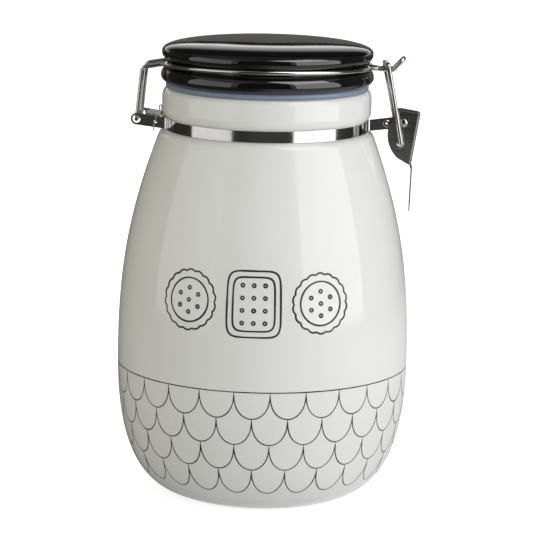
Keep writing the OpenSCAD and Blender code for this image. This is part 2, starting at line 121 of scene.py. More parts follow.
# axes and hardware
WIRE_R = 1.2
LEG_Y = 10.3
HINGE_X = -(NECK_R + 15.7)
SPLIT_X = -(NECK_R + 5.4)
PIN_X = NECK_R + 20.4
HINGE_LUG_Y = LEG_Y + WIRE_R + SIDE_GAP + STRAP_T / 2
LEVER_W = 11.6
HEAD_H = 0.6               # of the lever pin's heads


def lug_z(x):
    """Height of the lugs' middle line at a distance x from the jar's axis."""
    return STRAP_Z + (abs(x) - NECK_R) * LUG_RISE


# ---------------------------------------------------------------- curves
def arc(centre, rx, rz, a0, a1, n):
    """Points of a round or elliptic arc in a plane, angles in degrees."""
    out = []
    for i in range(n + 1):
        a = math.radians(a0 + (a1 - a0) * i / n)
        out.append(Vector((centre[0] + rx * math.cos(a), centre[1] + rz * math.sin(a))))
    return out


def cubic(p, q, r, s, n):
    """Points of a cubic curve, without its first point."""
    p, q, r, s = (Vector(v) for v in (p, q, r, s))
    out = []
    for i in range(1, n + 1):
        t = i / n
        u = 1 - t
        out.append(u**3 * p + 3 * u * u * t * q + 3 * u * t * t * r + t**3 * s)
    return out


def way(angle):
    """Unit vector at an angle in degrees."""
    return Vector((math.cos(math.radians(angle)), math.sin(math.radians(angle))))


def wall_curve(inset):
    """One side of the jar's wall from the base to the shoulder: inset 0 is the outside."""
    shoulder = Vector((
        NECK_R + SHOULDER_ROUND * math.cos(math.radians(SHOULDER_SLOPE)),
        NECK_LOW_Z - SHOULDER_ROUND * (1 - math.sin(math.radians(SHOULDER_SLOPE))),
    ))
    if inset == 0:
        start = arc((BASE_R, BASE_ROUND), BASE_ROUND, BASE_ROUND, -90, BASE_SLOPE - 90, 10)
        away = BASE_SLOPE
    else:
        start = [Vector((BASE_R - inset, FLOOR_T))]
        away = 0
    first = start[-1]
    belly = Vector((BELLY_R - inset, BELLY_Z))
    top = shoulder - inset * way(SHOULDER_SLOPE)
    leave = first + BASE_PULL * way(away)
    arrive = top + SHOULDER_PULL * way(SHOULDER_SLOPE - 90)
    return (
        start
        + cubic(first, leave, belly - Vector((0, BELLY_PULL_LOW)), belly, 64)
        + cubic(belly, belly + Vector((0, BELLY_PULL_HIGH)), arrive, top, 80)
    )


def jar_outline():
    shoulder_c = (NECK_R, NECK_LOW_Z - SHOULDER_ROUND)
    lip_top_c = (LIP_R - LIP_OUT - LIP_TOP_IN, RIM_Z - LIP_TOP_ROUND)
    outside = (
        wall_curve(0)
        + arc(shoulder_c, SHOULDER_ROUND, SHOULDER_ROUND, SHOULDER_SLOPE, 90, 16)[1:]
        + arc((NECK_R, NECK_HIGH_Z + LIP_LOW_ROUND), LIP_OUT, LIP_LOW_ROUND, -90, 0, 16)
        + arc(lip_top_c, LIP_OUT + LIP_TOP_IN, LIP_TOP_ROUND, 0, 90, 16)
    )
    inner = wall_curve(WALL)
    top = inner[-1]
    inside = inner + cubic(
        top, top + INNER_NECK_PULL * way(SHOULDER_SLOPE + 90),
        (MOUTH_R, INNER_NECK_Z - INNER_NECK_PULL), (MOUTH_R, INNER_NECK_Z), 16,
    )
    mouth_c = (MOUTH_R + MOUTH_ROUND, RIM_Z - MOUTH_ROUND)
    return (
        [Vector((0, 0))]
        + outside
        + arc(mouth_c, MOUTH_ROUND, MOUTH_ROUND, 90, 180, 10)
        + inside[::-1]
        + [Vector((0, FLOOR_T))]
    )


# centres of the lid's two rolls
LOW_ROLL_C = Vector((LID_R - LOW_ROUND, LID_Z + LOW_ROLL_Z))
HIGH_ROLL_C = Vector((HIGH_R - HIGH_ROUND, LID_Z + LOW_ROLL_Z + ROLL_PITCH))


def groove_centre():
    """Centre of the groove that touches both of the lid's rolls."""
    da, db = LOW_ROUND + GROOVE_ROUND, HIGH_ROUND + GROOVE_ROUND
    d = (HIGH_ROLL_C - LOW_ROLL_C).length
    u = (HIGH_ROLL_C - LOW_ROLL_C) / d
    s = (da * da - db * db + d * d) / (2 * d)
    return LOW_ROLL_C + u * s + Vector((u.y, -u.x)) * math.sqrt(da * da - s * s)


groove = groove_centre()


def degrees_of(v):
    """Angle of a flat vector, in degrees."""
    return math.degrees(math.atan2(v.y, v.x))


def dome_line(steps=60):
    """Points of the lid's top, from the upper roll's widest line to the middle."""
    out = []
    for i in range(1, steps + 1):
        a = math.radians(90 * i / steps)
        r = HIGH_R * math.cos(a) ** (2 / DOME_POWER) if i < steps else 0
        out.append(Vector((r, HIGH_ROLL_C.y + DOME_H * math.sin(a) ** (2 / DOME_POWER))))
    return out


def lid_outline():
    plug_z = seal_low.z - PLUG_DEPTH
    roof_z = LID_Z + HOLLOW_H
    edge_c = (HOLLOW_R + PLUG_IN_ROUND, plug_z + PLUG_IN_ROUND)
    corner_c = (HOLLOW_R - HOLLOW_ROUND, roof_z - HOLLOW_CROWN - HOLLOW_ROUND)
    plug_c = (PLUG_R - PLUG_ROUND, plug_z + PLUG_ROUND)
    bead_c = (PLUG_R, seal_low.z - 1.5 * PLUG_BEAD)
    from_low = degrees_of(groove - LOW_ROLL_C)
    from_high = degrees_of(groove - HIGH_ROLL_C)
    return (
        [Vector((0, roof_z)), Vector((HOLLOW_R - HOLLOW_ROUND, roof_z - HOLLOW_CROWN))]
        + arc(corner_c, HOLLOW_ROUND, HOLLOW_ROUND, 80, 0, 16)
        + arc(edge_c, PLUG_IN_ROUND, PLUG_IN_ROUND, 180, 270, 8)
        + arc(plug_c, PLUG_ROUND, PLUG_ROUND, -90, 0, 8)
        + arc(bead_c, PLUG_BEAD, PLUG_BEAD, -90, 90, 12)
        + [Vector((PLUG_R, LID_Z))]
        + arc((LID_R - LOW_ROLL_Z, LOW_ROLL_C.y), LOW_ROLL_Z, LOW_ROLL_Z, -90, 0, 20)
        + arc(LOW_ROLL_C, LOW_ROUND, LOW_ROUND, 0, from_low, 20)[1:]
        + arc(groove, GROOVE_ROUND, GROOVE_ROUND, 180 + from_low, 180 + from_high, 20)[1:]
        + arc(HIGH_ROLL_C, HIGH_ROUND, HIGH_ROUND, from_high, 0, 16)[1:]
        + dome_line()
    )


def seal_outline():
    inner_r = PLUG_R + FIT_GAP
    outer_r = SEAL_R - SEAL_EDGE
    return (
        [Vector((inner_r, seal_low.z)), Vector((outer_r, seal_low.z))]
        + arc((outer_r, seal_low.z + SEAL_T / 2), SEAL_EDGE, SEAL_T / 2, -80, 80, 20)
        + [Vector((outer_r, seal_high.z)), Vector((inner_r, seal_high.z))]
    )


# ---------------------------------------------------------------- mesh helpers
SHARP = 35                 # faces that meet at more than this many degrees have a sharp edge


def linked(name, data):
    """A new object that is in the scene."""
    obj = bpy.data.objects.new(name, data)
    bpy.context.scene.collection.objects.link(obj)
    return obj


def piece(name, verts, faces, material, body, node=None, sharp=SHARP, uvs=None):
    """A shown piece from points in millimetres: it rides on a body and may stand for a CAD node."""
    mesh = bpy.data.meshes.new(name)
    mesh.from_pydata([Vector(v) * MM for v in verts], [], faces)
    if uvs:
        layer = mesh.uv_layers.new(name="along")
        for loop in mesh.loops:
            layer.data[loop.index].uv = uvs[loop.vertex_index]
    finish_piece(linked(name, mesh), material, body, node, sharp)


def finish_piece(obj, material, body, node, sharp):
    """Fixes a piece's normals and gives it its material, shading and body; hides the CAD node that
    it stands for.
    """
    mesh = obj.data
    work = bmesh.new()
    work.from_mesh(mesh)
    bmesh.ops.recalc_face_normals(work, faces=work.faces)
    work.to_mesh(mesh)
    work.free()
    mesh.materials.clear()
    mesh.materials.append(material)
    mesh.shade_smooth()
    mesh.set_sharp_from_angle(angle=math.radians(sharp))
    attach(obj, body)
    if node:
        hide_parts(node)


def lathe(name, outline, material, body, node, turns, closed=False):
    """Turns an outline of (radius, height) about the jar's axis; a radius of 0 is a pole."""
    verts, faces, rings = [], [], []
    for r, z in outline:
        if r < 1e-6:
            rings.append([len(verts)])
            verts.append((0, 0, z))
            continue
        rings.append(list(range(len(verts), len(verts) + turns)))
        for i in range(turns):
            a = 2 * math.pi * i / turns
            verts.append((r * math.cos(a), r * math.sin(a), z))
    pairs = list(zip(rings, rings[1:]))
    if closed:
        pairs.append((rings[-1], rings[0]))
    for a, b in pairs:
        for i in range(turns):
            j = (i + 1) % turns
            if len(a) == 1 and len(b) == 1:
                continue
            if len(a) == 1:
                faces.append((a[0], b[j], b[i]))
            elif len(b) == 1:
                faces.append((a[i], a[j], b[0]))
            else:
                faces.append((a[i], a[j], b[j], b[i]))
    piece(name, verts, faces, material, body, node)


def bent(corners, bends, step=6):
    """Middle line of a bent wire: round bends at the inner corners, every step degrees."""
    points = [Vector(corners[0])]
    for i in range(1, len(corners) - 1):
        p = Vector(corners[i])
        u = (p - Vector(corners[i - 1])).normalized()
        v = (Vector(corners[i + 1]) - p).normalized()
        turn = u.angle(v)
        inward = (v - u * math.cos(turn)).normalized()
        r = bends[i - 1]
        centre = p - u * r * math.tan(turn / 2) + inward * r
        count = max(2, math.ceil(math.degrees(turn) / step))
        for k in range(count + 1):
            a = turn * k / count
            points.append(centre + r * (u * math.sin(a) - inward * math.cos(a)))
    points.append(Vector(corners[-1]))
    return points


END_ROUND = 0.35           # rounding of a wire's ends, over its radius
END_STEPS = (0.0, 0.3, 0.65, 1.0)    # where the rings of a rounded end lie along it
POINT_GAP = 0.02           # points of a wire that lie nearer together than this are one
WIRE_SHARP = 50


def tube(name, points, radius, material, body, node, sides=24):
    """A wire along points, with rounded ends. Its UV map holds the way along and round it."""
    line = []
    for p in points:
        if not line or (p - line[-1]).length > POINT_GAP:
            line.append(p)
    ways = [(b - a).normalized() for a, b in zip(line, line[1:])]
    tangents = [ways[0]] + [(a + b).normalized() for a, b in zip(ways, ways[1:])] + [ways[-1]]
    side = tangents[0].orthogonal().normalized()
    soft = END_ROUND * radius
    ends = [(soft * t, radius - soft * (1 - math.sqrt(1 - (1 - t) ** 2))) for t in END_STEPS]
    rings = [(line[0] + ways[0] * in_by, tangents[0], r) for in_by, r in ends]
    rings += [(p, t, radius) for p, t in zip(line[1:-1], tangents[1:-1])]
    rings += [(line[-1] - ways[-1] * in_by, tangents[-1], r) for in_by, r in ends[::-1]]
    verts, faces, uvs = [], [], []
    travelled = 0.0
    before = rings[0][0]
    for p, t, r in rings:
        side = (side - t * side.dot(t)).normalized()
        other = t.cross(side)
        travelled += (p - before).length
        before = p
        for k in range(sides):
            a = 2 * math.pi * k / sides
            verts.append(p + (side * math.cos(a) + other * math.sin(a)) * r)
            uvs.append((travelled * MM, abs(2 * k / sides - 1)))
    for i in range(len(rings) - 1):
        for k in range(sides):
            j = (k + 1) % sides
            a, b = i * sides, (i + 1) * sides
            faces.append((a + k, a + j, b + j, b + k))
    faces.append(tuple(range(sides))[::-1])
    faces.append(tuple(range(len(verts) - sides, len(verts))))
    piece(name, verts, faces, material, body, node, WIRE_SHARP, uvs)


FOLD = 30                  # faces that meet at more than this many degrees get a rounded edge
FLAT = 0.6                 # and faces that meet at less than this many are one


def refined(name, node, material, body, edge, flat=False):
    """A copy of a CAD node's mesh with its edges rounded, which stands for the node."""
    obj = linked(name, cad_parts[node].data.copy())
    mesh = obj.data
    work = bmesh.new()
    work.from_mesh(mesh)
    bmesh.ops.remove_doubles(work, verts=work.verts, dist=1e-6)
    bmesh.ops.dissolve_limit(
        work, angle_limit=math.radians(FLAT), verts=work.verts, edges=work.edges,
        delimit={"NORMAL"},
    )
    work.normal_update()
    folds = [
        e for e in work.edges
        if len(e.link_faces) == 2 and e.calc_face_angle(0) > math.radians(FOLD)
    ]
    bmesh.ops.bevel(
        work, geom=folds, offset=edge * MM, offset_type="OFFSET", segments=2,
        profile=0.6, affect="EDGES", clamp_overlap=True,
    )
    work.to_mesh(mesh)
    work.free()
    if "custom_normal" in mesh.attributes:
        mesh.attributes.remove(mesh.attributes["custom_normal"])
    finish_piece(obj, material, body, node, SHARP)
    if flat:
        flat_faces(obj)


def flat_faces(obj):
    """Gives the large faces their own normals back, so that only the rounded edges look round."""
    modifier = obj.modifiers.new("flat_faces", "WEIGHTED_NORMAL")
    modifier.keep_sharp = True
    shown = obj.evaluated_get(bpy.context.evaluated_depsgraph_get())
    mesh = bpy.data.meshes.new_from_object(shown)
    obj.modifiers.clear()
    obj.data = mesh


# ---------------------------------------------------------------- material helpers
def rgba(value):
    """A colour socket's four numbers, from a colour or a grey."""
    return (*value, 1) if isinstance(value, tuple) else (value, value, value, 1)


class Nodes:
    """Short calls for building one material's node tree."""

    def __init__(self, name):
        self.material = bpy.data.materials.new(name)
        self.material.use_nodes = True
        self.tree = self.material.node_tree
        self.shader = self.tree.nodes["Principled BSDF"]
        self.coords = self.tree.nodes.new("ShaderNodeTexCoord")

    def add(self, kind, **values):
        node = self.tree.nodes.new(kind)
        for key, value in values.items():
            setattr(node, key, value)
        return node

    def link(self, a, b):
        self.tree.links.new(a, b)

    def noise(self, scale, detail=3, stretch=(1, 1, 1), vector=None, rough=0.5):
        """Noise from 0 to 1: scale is in cells to the metre."""
        mapping = self.add("ShaderNodeMapping")
        mapping.inputs["Scale"].default_value = stretch
        self.link(vector or self.coords.outputs["Object"], mapping.inputs["Vector"])
        node = self.add("ShaderNodeTexNoise")
        node.inputs["Scale"].default_value = scale
        node.inputs["Detail"].default_value = detail
        node.inputs["Roughness"].default_value = rough
        self.link(mapping.outputs["Vector"], node.inputs["Vector"])
        return node.outputs["Fac"]

    def ramp(self, fac, stops):
        """Greys between stops of (position, value)."""
        node = self.add("ShaderNodeValToRGB")
        elements = node.color_ramp.elements
        while len(elements) < len(stops):
            elements.new(0.5)
        for element, (at, value) in zip(elements, stops):
            element.position = at
            element.color = rgba(value)
        self.link(fac, node.inputs["Fac"])
        return node.outputs["Color"]

    def mix(self, fac, a, b):
        node = self.add("ShaderNodeMix", data_type="RGBA")
        self.put(fac, node.inputs["Factor"])
        self.put(a, node.inputs["A"])
        self.put(b, node.inputs["B"])
        return node.outputs["Result"]

    def put(self, value, socket):
        """Links a socket to another, or sets its constant."""
        if isinstance(value, bpy.types.NodeSocket):
            self.link(value, socket)
        elif socket.type == "RGBA":
            socket.default_value = rgba(value)
        else:
            socket.default_value = value

    def math(self, kind, a, b=0.0):
        node = self.add("ShaderNodeMath", operation=kind)
        self.put(a, node.inputs[0])
        self.put(b, node.inputs[1])
        return node.outputs[0]

    def spread(self, fac, low, high, out_low, out_high):
        """Maps low to high onto out_low to out_high, and stops at both ends."""
        node = self.add("ShaderNodeMapRange")
        self.link(fac, node.inputs["Value"])
        node.inputs["From Min"].default_value = low
        node.inputs["From Max"].default_value = high
        node.inputs["To Min"].default_value = out_low
        node.inputs["To Max"].default_value = out_high
        return node.outputs["Result"]

    def bump(self, height, distance, normal=None):
        node = self.add("ShaderNodeBump")
        node.inputs["Distance"].default_value = distance
        node.inputs["Strength"].default_value = 1.0
        self.link(height, node.inputs["Height"])
        if normal:
            self.link(normal, node.inputs["Normal"])
        return node.outputs["Normal"]

    def part(self, axis):
        """One of the object's own coordinates, in metres."""
        node = self.add("ShaderNodeSeparateXYZ")
        self.link(self.coords.outputs["Object"], node.inputs["Vector"])
        return node.outputs[axis]

    def radius(self):
        """Distance from the jar's axis, in metres."""
        flat = self.add("ShaderNodeVectorMath", operation="MULTIPLY")
        self.link(self.coords.outputs["Object"], flat.inputs[0])
        flat.inputs[1].default_value = (1, 1, 0)
        length = self.add("ShaderNodeVectorMath", operation="LENGTH")
        self.link(flat.outputs["Vector"], length.inputs[0])
        return length.outputs["Value"]

    def set(self, name, value):
        self.put(value, self.shader.inputs[name])


NOISE_BODY = (0.3, 0.7)    # a noise mostly stays between these
NOISE_CORE = (0.35, 0.65)  # narrower, for more contrast
FOOT_Z = 0.0004            # the glaze is wiped off below this height, in metres
FOOT_INNER_R = 0.040       # and outside this radius
CLAY = (0.52, 0.45, 0.36), (0.66, 0.60, 0.50)
CLAY_ROUGH = 0.75
PEEL = 0.012               # depth of the glaze's fine texture, over that of its slow waves


def glaze(name, thick, thin, gloss, wave, index):
    """Glossy ceramic glaze with pooled and thin patches, orange peel and an unglazed foot ring."""
    n = Nodes(name)
    colour = n.mix(n.spread(n.noise(16, 3), *NOISE_CORE, 0, 1), thick, thin)
    under = n.math("LESS_THAN", n.part("Z"), FOOT_Z)
    foot = n.math("MULTIPLY", under, n.math("GREATER_THAN", n.radius(), FOOT_INNER_R))
    n.set("Base Color", n.mix(foot, colour, n.mix(n.noise(700, 4), *CLAY)))
    shine = n.spread(n.noise(45, 4), *NOISE_BODY, gloss * 0.75, gloss * 1.35)
    n.set("Roughness", n.mix(foot, shine, CLAY_ROUGH))
    n.set("IOR", index)
    waves = n.bump(n.noise(34, 1), wave)
    n.set("Normal", n.bump(n.noise(420, 2), wave * PEEL, waves))
    return n.material


def ink(name):
    """Fired black enamel, a little uneven in density."""
    n = Nodes(name)
    n.set("Base Color", n.mix(n.noise(900, 4), (0.010, 0.010, 0.010), (0.035, 0.034, 0.033)))
    n.set("Roughness", n.spread(n.noise(300, 2), *NOISE_BODY, 0.25, 0.42))
    n.set("Normal", n.bump(n.noise(2400, 2), 0.00002))
    return n.material


def silicone(name):
    """Soft blue-grey silicone with a moulded matt skin."""
    n = Nodes(name)
    n.set("Base Color", n.mix(n.noise(60, 4), (0.170, 0.215, 0.305), (0.210, 0.255, 0.345)))
    n.set("Roughness", n.spread(n.noise(500, 3), *NOISE_BODY, 0.38, 0.55))
    n.set("Subsurface Weight", 0.12)
    n.set("Subsurface Radius", (0.9, 1.0, 1.1))
    n.set("Subsurface Scale", 0.0008)
    n.set("Normal", n.bump(n.noise(1800, 3), 0.00002))
    return n.material


def steel(name, light, dark, shine, stretch, along=False, depth=0.000004):
    """Polished or brushed stainless steel, with fine lines and light handling wear.

    stretch holds the lines' cells to the metre each way: with along, along a wire and round it.
    """
    n = Nodes(name)
    vector = n.coords.outputs["UV"] if along else None
    lines = n.noise(1.0, 3, stretch, vector, 0.6)
    cloud = n.noise(55, 4)
    n.set("Base Color", n.mix(n.spread(cloud, *NOISE_CORE, 0, 1), light, dark))
    n.set("Metallic", 1.0)
    worn = n.spread(cloud, *NOISE_BODY, shine * 0.8, shine * 1.3)
    fine = n.spread(lines, 0.25, 0.75, -0.05, 0.06)
    n.set("Roughness", n.math("ADD", worn, fine))
    n.set("Normal", n.bump(lines, depth))
    return n.material


cream = glaze(
    "glaze_cream", (0.80, 0.80, 0.79), (0.775, 0.775, 0.76),
    gloss=0.07, wave=0.00012, index=1.52,
)
black = glaze(
    "glaze_black", (0.0028, 0.0028, 0.0028), (0.0045, 0.0043, 0.004),
    gloss=0.045, wave=0.00005, index=1.72,
)
print_ink = ink("print_ink")
blue_seal = silicone("silicone_blue")
wire_steel = steel(
    "wire_steel", (0.62, 0.61, 0.58), (0.53, 0.52, 0.49),
    shine=0.13, stretch=(60, 7, 1), along=True,
)
strap_steel = steel(
    "strap_steel", (0.70, 0.69, 0.67), (0.62, 0.61, 0.59),
    shine=0.09, stretch=(30, 30, 5000),
)
lever_steel = steel(
    "lever_steel", (0.50, 0.50, 0.49), (0.40, 0.40, 0.39),
    shine=0.24, stretch=(60, 60, 3200), depth=0.000010,
)


# ---------------------------------------------------------------- ceramic and seal
def make_ceramics():
    lathe("jar_glazed", jar_outline(), cream, "jar", "jar_body", 288)
    lathe("lid_glazed", lid_outline(), black, "lid_unit", "lid", 288)
    lathe("seal_ring", seal_outline(), blue_seal, "lid_unit", "gasket", 256, True)


# ---------------------------------------------------------------- wires
BOW = 2.4                  # height by which the bail bows up at the front and back of the lid
KNUCKLE_K = 1.05           # room round the wire in the groove, over its radius
RING_REACH = GROOVE_ROUND - WIRE_R * KNUCKLE_K - FIT_GAP
RING_R = groove.x - math.sqrt(RING_REACH**2 - (BOW / 2) ** 2)
RING_Z = groove.y - BOW / 2
RING_STEPS = 90            # of half the ring
BOW_ANGLE = math.asin(BOW / RING_R)
LEG_TURN = 1.92            # from the ring's end to the corner of the leg
LEG_ANGLE = 180 - math.degrees(math.asin((LEG_Y + LEG_TURN) / RING_R))
LEG_END = 0.9              # how far the leg's end stands out of the lug
LEG_BENDS = [1.9, 3.0, 1.9]
ELBOW = (2.8, -1.6)        # of the leg, from the hinge's x and the ring's height
NOSE_TURN = 1.2            # from the ring's end to the corner of the nose
NOSE_START = 5.2           # distance of the nose's start from the middle plane
NOSE_ANGLE = math.degrees(math.asin(NOSE_START / RING_R))
NOSE_W = 6.0
NOSE_LIFT = 6              # height of the nose's tip above its valley
NOSE_BENDS = [1.4, 1.6, 3.0, 1.6, NOSE_W / 2 - 0.3]
NOSE_X = LID_R + 17 - WIRE_R
CROSS_X = LID_R + 6.5
VALLEY_X = CROSS_X + 3.9
VALLEY_Z = RING_Z - 0.4
CROSS_Z = VALLEY_Z + 2 * WIRE_R + CROSS_GAP

HOOK = (-1.45, -12.3)      # axis of the latch wire's ends, from the lever pin's
HOOK_IN = 1.5              # how far the ends reach in past the lever's cheeks
LATCH_BENDS = [1.5, 2.2, 2.2, 1.5]
LATCH_ASKEW = 1.3          # how far each end of the crossbar lies off its middle
END_ASKEW = 0.8            # play of each end in its hole, taken to one side

PIN_WIRE_R = 0.32          # of the split pin
PIN_APART = 0.36           # half the distance between its two wires
PIN_OUT = HINGE_LUG_Y + STRAP_T / 2 + 0.5
PIN_UP = LUG_H / 2 + 2.6   # length of its bent ends
PIN_BENDS = [0.45, 0.45, 0.6, 0.6, 0.45, 0.45]


def ring_point(angle, side):
    """Point of the bail's ring, which bows up at the front and back of the lid."""
    a = math.radians(angle)
    y = RING_R * math.sin(a) * side
    rise = abs(y) * math.sin(BOW_ANGLE)
    return Vector((RING_R * math.cos(a), y * math.cos(BOW_ANGLE), RING_Z + rise))


def ring_way(angle, side):
    """Direction of the ring there, towards the hinge."""
    a = math.radians(angle)
    out = math.cos(a)
    return Vector((-math.sin(a), side * out * math.cos(BOW_ANGLE), out * math.sin(BOW_ANGLE)))


def half_bail(side):
    """Points of half the bail, from its hinge end to the middle of its nose."""
    hinge_z = lug_z(HINGE_X)
    ring_end = ring_point(LEG_ANGLE, side)
    leg = bent(
        [
            (HINGE_X, side * (HINGE_LUG_Y + STRAP_T / 2 + LEG_END), hinge_z),
            (HINGE_X, side * LEG_Y, hinge_z),
            (HINGE_X + ELBOW[0], side * LEG_Y, RING_Z + ELBOW[1]),
            ring_end + ring_way(LEG_ANGLE, side) * LEG_TURN,
            ring_end,
        ],
        LEG_BENDS,
    )
    step = (NOSE_ANGLE - LEG_ANGLE) / RING_STEPS
    ring = [ring_point(LEG_ANGLE + step * i, side) for i in range(1, RING_STEPS)]
    start = ring_point(NOSE_ANGLE, side)
    nose = bent(
        [
            start,
            start - ring_way(NOSE_ANGLE, side) * NOSE_TURN,
            (LID_R + 2, side * (WIRE_R + 0.15), RING_Z - 0.05),
            (CROSS_X - 2, side * NOSE_W / 2, VALLEY_Z + 0.1),
            (VALLEY_X, side * NOSE_W / 2, VALLEY_Z),
            (NOSE_X, side * NOSE_W / 2, VALLEY_Z + NOSE_LIFT),
            (NOSE_X, 0, VALLEY_Z + NOSE_LIFT),
        ],
        NOSE_BENDS,
    )
    return leg + ring + nose


def make_wires():
    front, back = half_bail(-1), half_bail(1)
    bail = front + back[-2::-1]
    tube("bail_wire", bail, WIRE_R, wire_steel, "lid_unit", "lid_bail")
    hook_x, hook_z = PIN_X + HOOK[0], lug_z(PIN_X) + HOOK[1]
    outer = LEVER_W / 2 + HEAD_H + PART_GAP + WIRE_R
    inner = LEVER_W / 2 - HOOK_IN
    latch = bent(
        [
            (hook_x + END_ASKEW, -inner, hook_z),
            (hook_x + END_ASKEW, -outer, hook_z),
            (CROSS_X + LATCH_ASKEW, -outer, CROSS_Z),
            (CROSS_X - LATCH_ASKEW, outer, CROSS_Z),
            (hook_x - END_ASKEW, outer, hook_z),
            (hook_x - END_ASKEW, inner, hook_z),
        ],
        LATCH_BENDS,
    )
    tube("latch_loop_wire", latch, WIRE_R, wire_steel, "latch", "latch_wire")
    make_split_pin()


def make_split_pin():
    """A folded pin: its two wires lie together in the lugs, and its ends are bent up and down."""
    x, z = SPLIT_X, lug_z(SPLIT_X)
    front, back = x + PIN_APART, x - PIN_APART
    points = bent(
        [
            (front + 0.4, -PIN_OUT - 0.2, z + PIN_UP - 1),
            (front, -PIN_OUT, z),
            (front, PIN_OUT, z),
            (front + 0.6, PIN_OUT + 0.1, z + PIN_UP),
            (back - 0.2, PIN_OUT + 0.1, z + PIN_UP),
            (back, PIN_OUT, z),
            (back, -PIN_OUT, z),
            (back - 0.9, -PIN_OUT - 0.1, z - PIN_UP + 0.4),
        ],
        PIN_BENDS,
        step=10,
    )
    tube(
        "hinge_split_pin", points, PIN_WIRE_R, wire_steel, "jar", "split_pin",
        sides=14,
    )


# ---------------------------------------------------------------- pressed steel
def make_pressings():
    refined("strap_half_front", "strap_front", strap_steel, "jar", 0.12, True)
    refined("strap_half_back", "strap_back", strap_steel, "jar", 0.12, True)
    refined("lever_pressing", "lever", lever_steel, "lever_unit", 0.16)
    refined("eyelet_rivet", "strap_eyelet", strap_steel, "jar", 0.05)
    refined("lever_rivet", "lever_pin", wire_steel, "jar", 0.08)


# ---------------------------------------------------------------- printed lines
wall_points = wall_curve(0)


def wall_radius(z):
    """Outer radius of the wall at a height."""
    for p, q in zip(wall_points, wall_points[1:]):
        if p.y <= z <= q.y:
            return p.x + (q.x - p.x) * (z - p.y) / (q.y - p.y)
    return wall_points[-1].x


def on_wall(s, z):
    """Point on the glaze: s is the distance round the jar from the front, at the belly."""
    a = s / BELLY_R - math.pi / 2
    r = wall_radius(z)
    return Vector((r * math.cos(a), r * math.sin(a), z))


def wall_normal(s, z):
    """Direction straight out of the glaze there."""
    a = s / BELLY_R - math.pi / 2
    slope = wall_radius(z + 0.5) - wall_radius(z - 0.5)
    return Vector((math.cos(a), math.sin(a), -slope)).normalized()


GIRTH = 2 * math.pi * BELLY_R
LINE_UP = 0.035            # height of a line over the glaze
LINE_DOWN = 0.05           # and its depth in it
LINE_STEP = 1.1
LINE_SHARP = 60
WOBBLE = 0.28              # change of a line's width along it, over the width
WOBBLE_SCALE = 0.11
TAPER = 0.35               # width of a line's end, over the width
TAPER_STEPS = 3


def stepped(points, closed):
    """The same stroke with a point about every LINE_STEP; a closed one may go round the jar."""
    corners = [Vector(p) for p in points]
    if closed:
        turns = round((corners[-1].x - corners[0].x) / GIRTH)
        corners.append(corners[0] + Vector((turns * GIRTH, 0)))
    out = [corners[0]]
    for p, q in zip(corners, corners[1:]):
        count = max(1, round((q - p).length / LINE_STEP))
        out += [p.lerp(q, k / count) for k in range(1, count + 1)]
    return out[:-1] if closed else out


def printed(name, strokes, width):
    """Thin closed ribbons on the glaze, one for each stroke of (points (s, z), closed)."""
    verts, faces = [], []
    for points, closed in strokes:
        points = stepped(points, closed)
        count = len(points)
        base = len(verts)
        for i, (s, z) in enumerate(points):
            before = points[i - 1] if i or closed else points[i]
            after = points[(i + 1) % count] if i < count - 1 or closed else points[i]
            here = on_wall(s, z)
            along = (on_wall(*after) - on_wall(*before)).normalized()
            out = wall_normal(s, z)
            side = out.cross(along).normalized()
            wobble = noise.noise(Vector((s * WOBBLE_SCALE, z * WOBBLE_SCALE, 3.7)))
            half = width / 2 * (1 + WOBBLE * wobble)
            if not closed:
                from_end = min(i, count - 1 - i)
                half *= min(1, TAPER + (1 - TAPER) * from_end / TAPER_STEPS)
            low, high = out * -LINE_DOWN, out * LINE_UP
            verts += [here - side * half + low, here - side * half + high]
            verts += [here + side * half + high, here + side * half + low]
        for i in range(count if closed else count - 1):
            a, b = base + 4 * i, base + 4 * ((i + 1) % count)
            for k in range(4):
                m = (k + 1) % 4
                faces.append((a + k, a + m, b + m, b + k))
        if not closed:
            faces.append((base, base + 1, base + 2, base + 3))
            end = base + 4 * (count - 1)
            faces.append((end + 3, end + 2, end + 1, end))
    piece(name, verts, faces, print_ink, "jar", None, LINE_SHARP)


def oval(s, z, half_w, half_h, count, power=2.0):
    """A closed stroke round an upright oval; a power over 2 squares it."""
    out = []
    for i in range(count):
        a = 2 * math.pi * i / count
        c, d = math.cos(a), math.sin(a)
        x = math.copysign(abs(c) ** (2 / power), c) * half_w
        y = math.copysign(abs(d) ** (2 / power), d) * half_h
        out.append((s + x, z + y))
    return out, True


BAND_LOW, BAND_HIGH = 14.0, 72.0
BAND_ROWS = 4
BAND_COUNT = 26            # scallops in a row
BAND_LINE = 0.62
SCALLOP_STEPS = 24
SCALLOP_POWER = 0.8        # of a scallop's curve: 1 is an ellipse, less is fuller


def make_band():
    """A band of hanging scallops, each row half a step on from the one above it."""
    pitch = GIRTH / BAND_COUNT
    row_h = (BAND_HIGH - BAND_LOW) / BAND_ROWS
    strokes = [([(pitch * i, BAND_HIGH) for i in range(BAND_COUNT)], True)]
    for row in range(BAND_ROWS):
        top = BAND_HIGH - row * row_h
        for i in range(BAND_COUNT):
            middle = pitch * (i + (0.5 if row % 2 else 0))
            scallop = []
            for k in range(SCALLOP_STEPS + 1):
                a = math.pi * k / SCALLOP_STEPS
                drop = row_h * math.sin(a) ** SCALLOP_POWER
                scallop.append((middle - pitch / 2 * math.cos(a), top - drop))
            strokes.append((scallop, False))
    printed("band_print", strokes, BAND_LINE)


